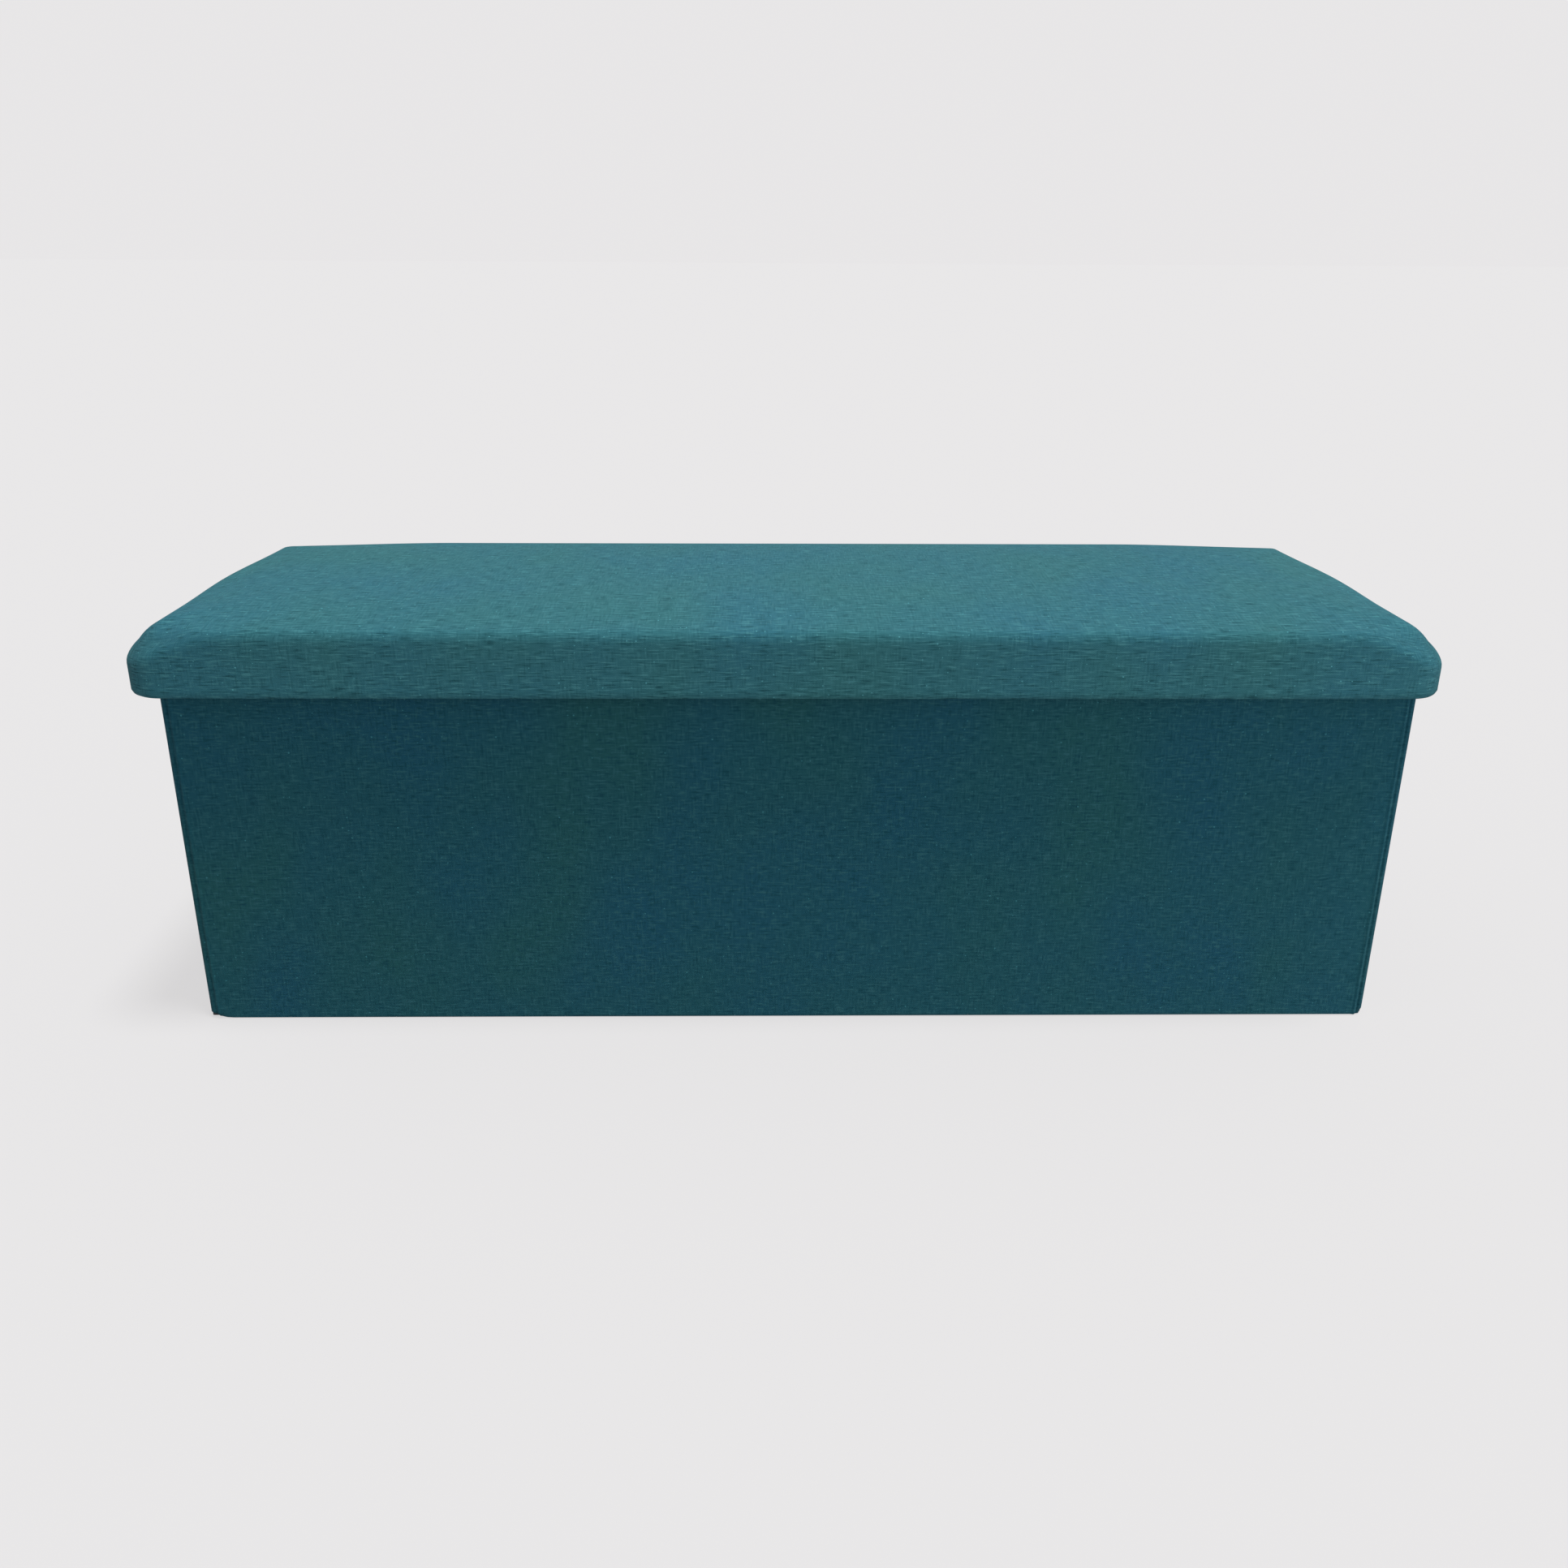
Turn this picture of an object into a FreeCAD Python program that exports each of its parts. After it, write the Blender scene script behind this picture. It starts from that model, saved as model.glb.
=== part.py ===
import FreeCAD, Part
import os
import re

import Sketcher

# Folding storage bench: a fabric covered box of flat panels with a loose, padded lid.
# Millimetres. +X to the right along the bench, +Y to the back, +Z up.
# The origin is at the centre of the footprint, on the floor.

doc = FreeCAD.newDocument("storage_bench")

# ---------------------------------------------------------------- sizes

# Driving dimensions.
SIZES = {
    # box panels: a board between an outer cover and a lining
    "body_length": "1060",
    "body_depth": "340",
    "wall_height": "338",
    "board_thick": "4",
    "cover_thick": "2",
    "lining_thick": "1",
    "wall_corner": "5.5",
    # fabric hinges: each fold line stands half a fold gap off the faces of its two panels
    "fold_gap": "0.4",
    "tape_thick": "0.6",
    "tape_width": "14",
    "tape_end_gap": "9",
    # divider
    "divider_board_thick": "4",
    "divider_cover_thick": "1",
    "divider_front_gap": "1.5",
    "divider_lift": "12",
    # loose base board
    "base_end_gap": "6",
    "base_side_gap": "1.5",
    "base_board_thick": "3",
    "base_cover_thick": "0.8",
    "tab_length": "90",
    "tab_width": "22",
    "tab_thick": "1",
    "tab_corner": "5",
    "tab_inset": "60",
    # lid
    "lid_length": "1100",
    "lid_depth": "380",
    "total_height": "380",
    "lid_corner": "32",
    "lid_crown": "8",
    "lid_edge": "26",
    "skirt_height": "60",
    "lid_board_thick": "5",
    "rim_thick": "12",
    "lid_rest_gap": "0.3",
    "lid_lining_thick": "0.7",
    # staples that hold the turned-in cover to the rim
    "staple_width": "10",
    "staple_leg": "6",
    "staple_wire": "0.7",
    "staple_drop": "10",
    "staple_pitch": "118",
}

# Dimensions that follow from the driving ones.
DERIVED = {
    "panel_thick": "=board_thick + cover_thick + lining_thick",
    "wall_inner": "=body_depth / 2 - panel_thick",
    "end_inner": "=body_length / 2 - panel_thick",
    "half_length": "=wall_inner - fold_gap * 1.5",
    "half_centre": "=(fold_gap + half_length) / 2",
    "divider_thick": "=divider_board_thick + 2 * divider_cover_thick",
    "divider_length": "=2 * wall_inner - fold_gap - divider_front_gap",
    "divider_centre": "=(divider_front_gap - fold_gap) / 2",
    "divider_height": "=wall_height - divider_lift",
    "base_length": "=2 * (end_inner - base_end_gap)",
    "base_depth": "=2 * (wall_inner - base_side_gap)",
    "base_thick": "=base_board_thick + 2 * base_cover_thick",
    "tape_height": "=wall_height - 2 * tape_end_gap",
    "shoulder": "=total_height - lid_crown",
    "lid_bottom": "=shoulder - skirt_height",
    "lid_lining_bottom": "=wall_height + lid_rest_gap",
    "lid_board_bottom": "=lid_lining_bottom + lid_lining_thick",
    "lid_board_top": "=lid_board_bottom + lid_board_thick",
    "core_length": "=lid_length - 2 * cover_thick",
    "core_depth": "=lid_depth - 2 * cover_thick",
    "core_corner": "=lid_corner - cover_thick",
    "core_edge": "=lid_edge - cover_thick",
    "core_bottom": "=lid_bottom + cover_thick",
    "core_shoulder": "=shoulder - cover_thick",
    "rim_height": "=lid_board_bottom - core_bottom",
    "ring_length": "=core_length - 2 * rim_thick",
    "ring_depth": "=core_depth - 2 * rim_thick",
    "mouth_length": "=ring_length - 2 * cover_thick",
    "mouth_depth": "=ring_depth - 2 * cover_thick",
}

sheet = doc.addObject("Spreadsheet::Sheet", "sizes")
for row, (alias, value) in enumerate({**SIZES, **DERIVED}.items(), start=1):
    sheet.set(f"A{row}", alias)
    sheet.set(f"B{row}", value)
    sheet.setAlias(f"B{row}", alias)
doc.recompute()


def size(alias):
    """The value of one cell."""
    return float(getattr(sheet, alias))


def formula(text):
    """Turn every cell name in a formula into a reference to the sheet."""
    return re.sub(r"[a-z_]+", r"sizes.\g<0>", text)


def bind(thing, **formulas):
    """Bind properties to formulas of cell names. x, y and z place the object."""
    for name, text in formulas.items():
        path = f"Placement.Base.{name}" if name in ("x", "y", "z") else name
        thing.setExpression(path, formula(text))


nodes = {}


def keep(name, thing):
    """Name an object as one sub-part of the bench."""
    thing.Label = name
    nodes[name] = thing


# ---------------------------------------------------------------- shapes used more than once

def block(name, length, depth, height, x="0", y="0", z="0"):
    """A box centred on x and y, standing on z."""
    box = doc.addObject("Part::Box", name)
    bind(box, Length=length, Width=depth, Height=height,
         x=f"({x}) - ({length}) / 2", y=f"({y}) - ({depth}) / 2", z=z)
    return box


def combine(kind, name, base, tool):
    """A boolean of two objects; kind is Cut, Fuse or Common."""
    result = doc.addObject(f"Part::{kind}", name)
    result.Base = base
    result.Tool = tool
    return result


def new_sketch(body, role, offset="0"):
    """A sketch on one of the body's own planes, moved along the plane's normal."""
    sketch = body.newObject("Sketcher::SketchObject", "Sketch")
    plane = next(face for face in body.Origin.OriginFeatures if face.Role == role)
    sketch.AttachmentSupport = [(plane, "")]
    sketch.MapMode = "FlatFace"
    bind(sketch, **{"AttachmentOffset.Base.z": offset})
    return sketch


def constrain(sketch, kind, *points):
    return sketch.addConstraint(Sketcher.Constraint(kind, *points))


def dimension(sketch, kind, text, *points):
    """A measured constraint bound to the sheet."""
    index = constrain(sketch, kind, *points, 1.0)
    sketch.setExpression(f"Constraints[{index}]", formula(text))


ORIGIN = (-1, 1)
ACROSS_AXIS = -1
UPRIGHT_AXIS = -2


def rectangle(body, role, width, height, low=None, offset="0"):
    """A rectangle sketch, centred across, with its lower edge at low or its middle at zero."""
    sketch = new_sketch(body, role, offset)
    corners = [FreeCAD.Vector(x, y, 0) for x, y in ((-9, 2), (9, 2), (9, 20), (-9, 20))]
    for side in range(4):
        sketch.addGeometry(Part.LineSegment(corners[side], corners[(side + 1) % 4]))
    for side in range(4):
        constrain(sketch, "Coincident", side, 2, (side + 1) % 4, 1)
    constrain(sketch, "Horizontal", 2)
    constrain(sketch, "Vertical", 3)
    dimension(sketch, "DistanceX", width, 0, 1, 0, 2)
    dimension(sketch, "DistanceY", height, 1, 1, 1, 2)
    constrain(sketch, "Symmetric", 0, 1, 0, 2, UPRIGHT_AXIS)
    if low is None:
        constrain(sketch, "Symmetric", 1, 1, 1, 2, ACROSS_AXIS)
        return sketch
    constrain(sketch, "Vertical", 1)
    if low == "0":
        constrain(sketch, "PointOnObject", 0, 1, ACROSS_AXIS)
    else:
        dimension(sketch, "DistanceY", low, *ORIGIN, 0, 1)
    return sketch


def pad(body, sketch, thickness, symmetric=False, backwards=False):
    feature = body.newObject("PartDesign::Pad", "Pad")
    feature.Profile = sketch
    feature.SideType = "Symmetric" if symmetric else "One side"
    feature.Reversed = backwards
    bind(feature, Length=thickness)
    return feature


def round_edges(body, feature, radius, wanted):
    """Fillet the edges of a feature that pass the test wanted(edge)."""
    doc.recompute()
    names = [f"Edge{number}" for number, edge in enumerate(feature.Shape.Edges, start=1)
             if wanted(edge)]
    fillet = body.newObject("PartDesign::Fillet", "Fillet")
    fillet.Base = (feature, names)
    bind(fillet, Radius=radius)
    return fillet


def upright(edge):
    ends = [vertex.Point for vertex in edge.Vertexes]
    return len(ends) == 2 and abs(ends[0].x - ends[1].x) + abs(ends[0].y - ends[1].y) < 1e-6


def slab(name, length, depth, height, corner, x="0", y="0", z="0"):
    """A flat plate with rounded upright corners, centred on x and y, standing on z."""
    body = doc.addObject("PartDesign::Body", name)
    sketch = rectangle(body, "XY_Plane", length, depth)
    round_edges(body, pad(body, sketch, height), corner, upright)
    bind(body, x=x, y=y, z=z)
    return body


def cushion(name, length, depth, bottom, shoulder, corner, edge_radius):
    """A block with a crowned top, rounded upright corners and a rounded top edge."""
    body = doc.addObject("PartDesign::Body", name)
    sketch = new_sketch(body, "YZ_Plane")
    left, right, low, high = -9.0, 9.0, 0.0, 9.0
    points = [FreeCAD.Vector(*place, 0) for place in
              ((left, high), (left, low), (right, low), (right, high))]
    for side in range(3):
        sketch.addGeometry(Part.LineSegment(points[side], points[side + 1]))
    top = Part.Arc(points[3], FreeCAD.Vector(0, high + 1, 0), points[0])
    sketch.addGeometry(top)
    for side in range(2):
        constrain(sketch, "Coincident", side, 2, side + 1, 1)
    constrain(sketch, "Coincident", 2, 2, 3, 1)
    constrain(sketch, "Coincident", 0, 1, 3, 2)
    constrain(sketch, "Vertical", 0)
    constrain(sketch, "Symmetric", 1, 1, 1, 2, UPRIGHT_AXIS)
    constrain(sketch, "Symmetric", 0, 1, 2, 2, UPRIGHT_AXIS)
    dimension(sketch, "DistanceX", depth, 1, 1, 1, 2)
    dimension(sketch, "DistanceY", bottom, *ORIGIN, 1, 1)
    dimension(sketch, "DistanceY", shoulder, *ORIGIN, 0, 1)
    dimension(sketch, "Radius", f"(({depth}) ^ 2 / 4 + lid_crown ^ 2) / (2 * lid_crown)", 3)
    cornered = round_edges(body, pad(body, sketch, length, symmetric=True), corner, upright)
    doc.recompute()
    base_height = size(bottom)

    def on_top(edge):
        return not upright(edge) and edge.BoundBox.ZMin > base_height + 1

    round_edges(body, cornered, edge_radius, on_top)
    return body


# ---------------------------------------------------------------- wall panels

def wall_panel(name, length, x, y, turn, rounded):
    """
    A board in a fabric tray, closed on the inside by a lining.

    The panel is drawn with its outer face on y = 0 and its inside towards +Y, then turned about
    Z and moved so that the middle of its outer face stands at x, y.
    """
    # A sketch on the XZ plane faces -Y, so depths into the panel are negative offsets.
    cover = doc.addObject("PartDesign::Body", f"{name}_cover")
    outline = rectangle(cover, "XZ_Plane", length, "wall_height", "0")
    tray = pad(cover, outline, "cover_thick + board_thick", backwards=True)
    if rounded:
        tray = round_edges(cover, tray, "wall_corner",
                           lambda edge: upright(edge) and edge.BoundBox.YMax < 1e-6)
    recess = cover.newObject("PartDesign::Pocket", "Pocket")
    recess.Profile = rectangle(cover, "XZ_Plane", f"({length}) - 2 * cover_thick",
                               "wall_height - 2 * cover_thick", "cover_thick", "-cover_thick")
    bind(recess, Length="board_thick")

    board = doc.addObject("PartDesign::Body", f"{name}_board")
    outline = rectangle(board, "XZ_Plane", f"({length}) - 2 * cover_thick",
                        "wall_height - 2 * cover_thick", "cover_thick", "-cover_thick")
    pad(board, outline, "board_thick", backwards=True)

    lining = doc.addObject("PartDesign::Body", f"{name}_lining")
    outline = rectangle(lining, "XZ_Plane", length, "wall_height", "0",
                        "-(cover_thick + board_thick)")
    pad(lining, outline, "lining_thick", backwards=True)

    for layer, body in (("outer_cover", cover), ("board", board), ("lining", lining)):
        body.Placement.Rotation = FreeCAD.Rotation(FreeCAD.Vector(0, 0, 1), turn)
        bind(body, x=x, y=y)
        keep(f"{name}_{layer}", body)


def walls():
    """The long walls cover the ends of the half panels that make the two short walls."""
    wall_panel("front_wall", "body_length", "0", "-body_depth / 2", 0, rounded=True)
    wall_panel("back_wall", "body_length", "0", "body_depth / 2", 180, rounded=True)
    for side, sign, turn in (("left", "-", -90), ("right", "", 90)):
        for place, way in (("rear", ""), ("front", "-")):
            wall_panel(f"{side}_{place}_end", "half_length", f"{sign}body_length / 2",
                       f"{way}half_centre", turn, rounded=False)


# ---------------------------------------------------------------- fabric hinges

def corner_tape(name, x, y, x_way, y_way):
    """An L of tape in an inner corner; x_way and y_way point from the corner into the box."""
    leg_along = block(f"{name}_along", "tape_width", "tape_thick", "tape_height",
                      f"{x} {x_way} tape_width / 2", f"{y} {y_way} tape_thick / 2",
                      "tape_end_gap")
    leg_across = block(f"{name}_across", "tape_thick", "tape_width", "tape_height",
                       f"{x} {x_way} tape_thick / 2", f"{y} {y_way} tape_width / 2",
                       "tape_end_gap")
    return combine("Fuse", name, leg_along, leg_across)


def tapes():
    """Corner tapes lie on the linings; the tapes of the end folds lie on the outer covers."""
    for side, x, x_way in (("left", "-end_inner", "+"), ("right", "end_inner", "-")):
        for place, y, y_way in (("rear", "wall_inner", "-"), ("front", "-wall_inner", "+")):
            name = f"{side}_{place}_corner_tape"
            keep(name, corner_tape(name, x, y, x_way, y_way))
    for side, sign in (("left", "-"), ("right", "")):
        name = f"{side}_fold_tape"
        keep(name, block(name, "tape_thick", "tape_width", "tape_height",
                         x=f"{sign}(body_length + tape_thick) / 2", z="tape_end_gap"))
    keep("divider_tape", corner_tape("divider_tape", "divider_thick / 2", "wall_inner", "+", "-"))


# ---------------------------------------------------------------- divider

def divider():
    """An upright board across the middle, in a sleeve that is open towards the back wall."""
    outer = block("divider_outer", "divider_thick", "divider_length", "divider_height",
                  y="divider_centre", z="divider_lift")
    board_shape = ("divider_board_thick", "divider_length - divider_cover_thick",
                   "divider_height - 2 * divider_cover_thick")
    board_place = {"y": "divider_centre + divider_cover_thick / 2",
                   "z": "divider_lift + divider_cover_thick"}
    space = block("divider_space", *board_shape, **board_place)
    keep("divider_cover", combine("Cut", "divider_cover", outer, space))
    keep("divider_board", block("divider_board", *board_shape, **board_place))


# ---------------------------------------------------------------- loose base board

def base():
    """A board in a sleeve that is open at its right end, with a flat tab to lift it by."""
    outer = block("base_outer", "base_length", "base_depth", "base_thick")
    board_shape = ("base_length - base_cover_thick", "base_depth - 2 * base_cover_thick",
                   "base_board_thick")
    board_place = {"x": "base_cover_thick / 2", "z": "base_cover_thick"}
    space = block("base_space", *board_shape, **board_place)
    keep("base_cover", combine("Cut", "base_cover", outer, space))
    keep("base_board", block("base_board", *board_shape, **board_place))
    keep("base_pull_tab", slab("base_pull_tab", "tab_length", "tab_width", "tab_thick",
                               "tab_corner", x="(tab_length - base_length) / 2 + tab_inset",
                               z="base_thick"))


# ---------------------------------------------------------------- lid

def lid_core(name):
    """Everything above the rim and inside the cover: the space of the board and the foam."""
    return cushion(name, "core_length", "core_depth", "lid_board_bottom", "core_shoulder",
                   "core_corner", "core_edge")


def lid():
    keep("lid_board", slab("lid_board", "core_length", "core_depth", "lid_board_thick",
                           "core_corner", z="lid_board_bottom"))
    keep("lid_foam", cushion("lid_foam", "core_length", "core_depth", "lid_board_top",
                             "core_shoulder", "core_corner", "core_edge"))
    keep("lid_lining", block("lid_lining", "mouth_length", "mouth_depth", "lid_lining_thick",
                             z="lid_lining_bottom"))
    lid_rims()
    lid_cover()
    lid_staples()


def rim_blank(name):
    return slab(name, "core_length", "core_depth", "rim_height", "core_corner",
                z="core_bottom")


def lid_rims():
    """Four strips under the lid board; the long ones run past the ends of the short ones."""
    for side, sign in (("front", "-"), ("back", "")):
        strip = block(f"{side}_strip", "core_length", "rim_thick", "rim_height",
                      y=f"{sign}(core_depth - rim_thick) / 2", z="core_bottom")
        name = f"lid_rim_{side}"
        keep(name, combine("Common", name, strip, rim_blank(f"{side}_blank")))
    for side, sign in (("left", "-"), ("right", "")):
        strip = block(f"{side}_strip", "rim_thick", "ring_depth", "rim_height",
                      x=f"{sign}(core_length - rim_thick) / 2", z="core_bottom")
        name = f"lid_rim_{side}"
        keep(name, combine("Common", name, strip, rim_blank(f"{side}_blank")))


def lid_cover():
    """Fabric over the foam, down the skirt, under the rim and up the rim's inner face."""
    outside = cushion("cover_outside", "lid_length", "lid_depth", "lid_bottom", "shoulder",
                      "lid_corner", "lid_edge")
    ring = block("ring_inside", "ring_length", "ring_depth", "rim_height", z="core_bottom")
    rim_space = combine("Cut", "rim_space", rim_blank("rim_space_blank"), ring)
    mouth = block("cover_mouth", "mouth_length", "mouth_depth", "lid_board_bottom - lid_bottom",
                  z="lid_bottom")
    hollow = combine("Cut", "cover_hollow", outside, lid_core("cover_core"))
    open_ring = combine("Cut", "cover_ring", hollow, rim_space)
    keep("lid_cover", combine("Cut", "lid_cover", open_ring, mouth))


def staple():
    """One staple, driven towards +Y, with its crown standing on y = 0 and centred on x."""
    wire = size("staple_wire")
    width = size("staple_width")
    crown = Part.makeBox(width, wire, wire, FreeCAD.Vector(-width / 2, -wire, 0))
    legs = [Part.makeBox(wire, size("staple_leg"), wire, FreeCAD.Vector(x, 0, 0))
            for x in (-width / 2, width / 2 - wire)]
    return crown.fuse(legs).removeSplitter()


def lid_staples():
    """Rows of staples through the turned-in cover into the inner faces of the rim."""
    height = size("lid_lining_bottom") - size("staple_drop")
    pitch = size("staple_pitch")
    long_row = [pitch * (number - 4) for number in range(9)]
    short_row = [pitch * (number - 1) for number in range(3)]
    half_length = size("mouth_length") / 2
    half_depth = size("mouth_depth") / 2
    solids = []
    for turn, reach, row in ((0, half_depth, long_row), (90, half_length, short_row),
                             (180, half_depth, long_row), (270, half_length, short_row)):
        for along in row:
            one = staple()
            one.translate(FreeCAD.Vector(along, reach, height))
            one.rotate(FreeCAD.Vector(0, 0, 0), FreeCAD.Vector(0, 0, 1), turn)
            solids.append(one)
    group = doc.addObject("Part::Feature", "lid_staples")
    group.Shape = Part.makeCompound(solids)
    group.Placement = FreeCAD.Placement()
    keep("lid_staples", group)


# ---------------------------------------------------------------- build, check and write

def check():
    """Stop if any object failed, or any sub-part is empty or broken."""
    doc.recompute()
    for thing in doc.Objects:
        if {"Invalid", "Error"} & set(thing.State):
            raise RuntimeError(f"{thing.Label} failed: {thing.State}")
    for name, thing in nodes.items():
        if thing.Shape.isNull() or not thing.Shape.isValid():
            raise RuntimeError(f"{name} has no valid shape")


def write():
    os.makedirs("parts", exist_ok=True)
    for name, thing in nodes.items():
        thing.Shape.exportStep(f"parts/{name}.step")
        extent = thing.Shape.optimalBoundingBox()
        print(f"{name:28s} {len(thing.Shape.Solids):3d} solids {thing.Shape.Volume:12.0f} mm3"
              f"  x {extent.XMin:8.2f} {extent.XMax:8.2f}  y {extent.YMin:8.2f} {extent.YMax:8.2f}"
              f"  z {extent.ZMin:7.2f} {extent.ZMax:7.2f}")


base()
walls()
tapes()
divider()
lid()
check()
write()
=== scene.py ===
"""The looks of a folding storage bench in petrol fabric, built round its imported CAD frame.

Everything is in metres in the CAD's frame: X runs along the bench, Y from front to back and Z up.
Each cloth piece carries a UV map named "cloth": the flat fabric in metres, before it was wrapped.
The weave is drawn on that map, so it runs over the edges as it does on the real thing.
"""

import math
from collections import namedtuple

import bpy
from mathutils import Euler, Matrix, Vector, noise


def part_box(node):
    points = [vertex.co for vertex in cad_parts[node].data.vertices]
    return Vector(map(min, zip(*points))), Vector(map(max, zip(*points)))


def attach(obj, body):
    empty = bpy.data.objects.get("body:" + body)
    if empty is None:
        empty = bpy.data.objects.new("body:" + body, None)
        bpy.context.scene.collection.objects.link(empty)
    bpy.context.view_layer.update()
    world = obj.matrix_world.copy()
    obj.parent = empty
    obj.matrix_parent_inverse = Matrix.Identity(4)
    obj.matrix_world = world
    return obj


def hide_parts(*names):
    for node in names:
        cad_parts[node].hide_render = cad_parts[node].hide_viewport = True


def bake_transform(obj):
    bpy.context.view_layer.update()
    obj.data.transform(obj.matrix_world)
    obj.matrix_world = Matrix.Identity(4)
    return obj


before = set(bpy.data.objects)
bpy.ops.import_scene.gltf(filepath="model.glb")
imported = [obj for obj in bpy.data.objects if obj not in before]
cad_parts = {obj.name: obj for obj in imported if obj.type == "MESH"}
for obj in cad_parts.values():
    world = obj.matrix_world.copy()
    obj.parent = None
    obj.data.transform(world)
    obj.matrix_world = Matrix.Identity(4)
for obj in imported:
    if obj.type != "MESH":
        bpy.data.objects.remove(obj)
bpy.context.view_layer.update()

MM = 0.001


# ---------------------------------------------------------------- mesh tools

def cells(low, high, size, border=0.0, fine=0.0):
    """Grid lines from low to high, size apart, and fine apart within border of each end."""
    if border:
        start = cells(low, low + border, fine)
        middle = cells(low + border, high - border, size)
        return start[:-1] + middle + cells(high - border, high, fine)[1:]
    count = max(1, round((high - low) / size))
    return [low + (high - low) * i / count for i in range(count + 1)]


def grid_box(xs, ys, zs):
    """A closed box with a grid on each face. Gives its points, its faces and each face's side."""
    lines = (xs, ys, zs)
    last = [len(line) - 1 for line in lines]
    index, points, faces, sides = {}, [], [], []

    def vertex(key):
        if key not in index:
            index[key] = len(points)
            points.append(Vector([line[i] for line, i in zip(lines, key)]))
        return index[key]

    for axis in range(3):
        across, along = (axis + 1) % 3, (axis + 2) % 3
        for end in (0, last[axis]):
            for i in range(last[across]):
                for j in range(last[along]):
                    ring = [(i, j), (i + 1, j), (i + 1, j + 1), (i, j + 1)]
                    keys = []
                    for a, b in ring if end else reversed(ring):
                        key = [0, 0, 0]
                        key[axis], key[across], key[along] = end, a, b
                        keys.append(tuple(key))
                    faces.append([vertex(key) for key in keys])
                    sides.append("-+"[end > 0] + "xyz"[axis])
    return points, faces, sides


def cloth_mesh(name, box, shape, flat):
    """An object from a grid box. shape(point) places a point, and flat(point, side) gives its cloth UV."""
    points, faces, sides = box
    mesh = bpy.data.meshes.new(name)
    mesh.from_pydata([shape(point) for point in points], [], faces)
    layer = mesh.uv_layers.new(name="cloth")
    corner = 0
    for face, side in zip(faces, sides):
        for vertex in face:
            layer.data[corner].uv = flat(points[vertex], side)
            corner += 1
    mesh.polygons.foreach_set("use_smooth", [True] * len(faces))
    obj = bpy.data.objects.new(name, mesh)
    bpy.context.scene.collection.objects.link(obj)
    return obj


def softened(*sides, power=2.0):
    """Rounds a corner. Each side runs from 0, where the rounding starts, to 1 at the outer face."""
    length = sum(max(side, 0.0) ** power for side in sides) ** (1 / power)
    scale = max(max(sides), 0.0) / length if length else 1.0
    return [side * scale if side > 0 else side for side in sides]


def rise(value, start, end):
    """0 before start, 1 after end and a smooth rise between them."""
    share = min(max((value - start) / (end - start), 0.0), 1.0)
    return share * share * (3 - 2 * share)


def unevenness(x, y, wavelength, seed):
    """A smooth random value from about -1 to 1."""
    return noise.noise(Vector((x / wavelength, y / wavelength, seed * 7.3)))


# ---------------------------------------------------------------- material tools

def add(tree, kind, inputs=None, **settings):
    """Adds a node. An input is a value for its socket, or another node's output to link to it."""
    node = tree.nodes.new(kind)
    for key, value in settings.items():
        setattr(node, key, value)
    for key, value in (inputs or {}).items():
        if isinstance(value, bpy.types.NodeSocket):
            tree.links.new(value, node.inputs[key])
        else:
            node.inputs[key].default_value = value
    return node


def calculate(tree, operation, first, second=0.0, third=0.0):
    """A Math node's result."""
    inputs = {0: first, 1: second, 2: third}
    return add(tree, "ShaderNodeMath", inputs, operation=operation).outputs[0]


def scaled(tree, coords, *factors):
    """Coordinates multiplied along each axis."""
    inputs = {0: coords, 1: (*factors, 1.0)[:3]}
    return add(tree, "ShaderNodeVectorMath", inputs, operation="MULTIPLY").outputs[0]


def grain(tree, coords, *per_metre, detail=2.0, offset=0.0):
    """Noise with this many cells per metre along each axis."""
    place = scaled(tree, coords, *per_metre)
    if offset:
        moved = {0: place, 1: (offset, offset, offset)}
        place = add(tree, "ShaderNodeVectorMath", moved, operation="ADD").outputs[0]
    inputs = {"Vector": place, "Scale": 1.0, "Detail": detail, "Roughness": 0.5}
    return add(tree, "ShaderNodeTexNoise", inputs).outputs["Fac"]


def stepped(tree, value, start, end, low=0.0, high=1.0):
    """value from start to end, stretched to run from low to high."""
    inputs = {"Value": value, "From Min": start, "From Max": end, "To Min": low, "To Max": high}
    return add(tree, "ShaderNodeMapRange", inputs, clamp=True).outputs[0]


def blended(tree, share, first, second):
    """A colour between first and second."""
    inputs = {0: share, 6: first, 7: second}
    return add(tree, "ShaderNodeMix", inputs, data_type="RGBA").outputs[2]


def surface(name, build, **shader):
    """A material whose colour, roughness and height come from build(tree). shader sets plain sockets."""
    material = bpy.data.materials.new(name)
    material.use_nodes = True
    tree = material.node_tree
    tree.nodes.clear()
    colour, roughness, height, depth = build(tree)
    bump_inputs = {"Height": height, "Distance": depth, "Strength": 1.0}
    bump = add(tree, "ShaderNodeBump", bump_inputs).outputs["Normal"]
    inputs = {"Base Color": colour, "Roughness": roughness, "Normal": bump, **shader}
    principled = add(tree, "ShaderNodeBsdfPrincipled", inputs)
    add(tree, "ShaderNodeOutputMaterial", {"Surface": principled.outputs["BSDF"]})
    return material


def shade(colour, factor):
    """A colour made lighter or darker, for a colour socket."""
    return (*[min(channel * factor, 1.0) for channel in colour], 1.0)


# ---------------------------------------------------------------- materials

# A fabric's colours, the length of its slubs, and how strongly its warp shows beside its weft.
Yarn = namedtuple("Yarn", "bluer greener pale deep slub_length warp")
YARNS_PER_METRE = 620
LINT_PER_METRE = 420
YARN_PITCH = 0.00065
DOT_PITCH = (0.0016, 0.0011)
RIB_PITCH = (0.0014, 0.0009)


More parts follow.
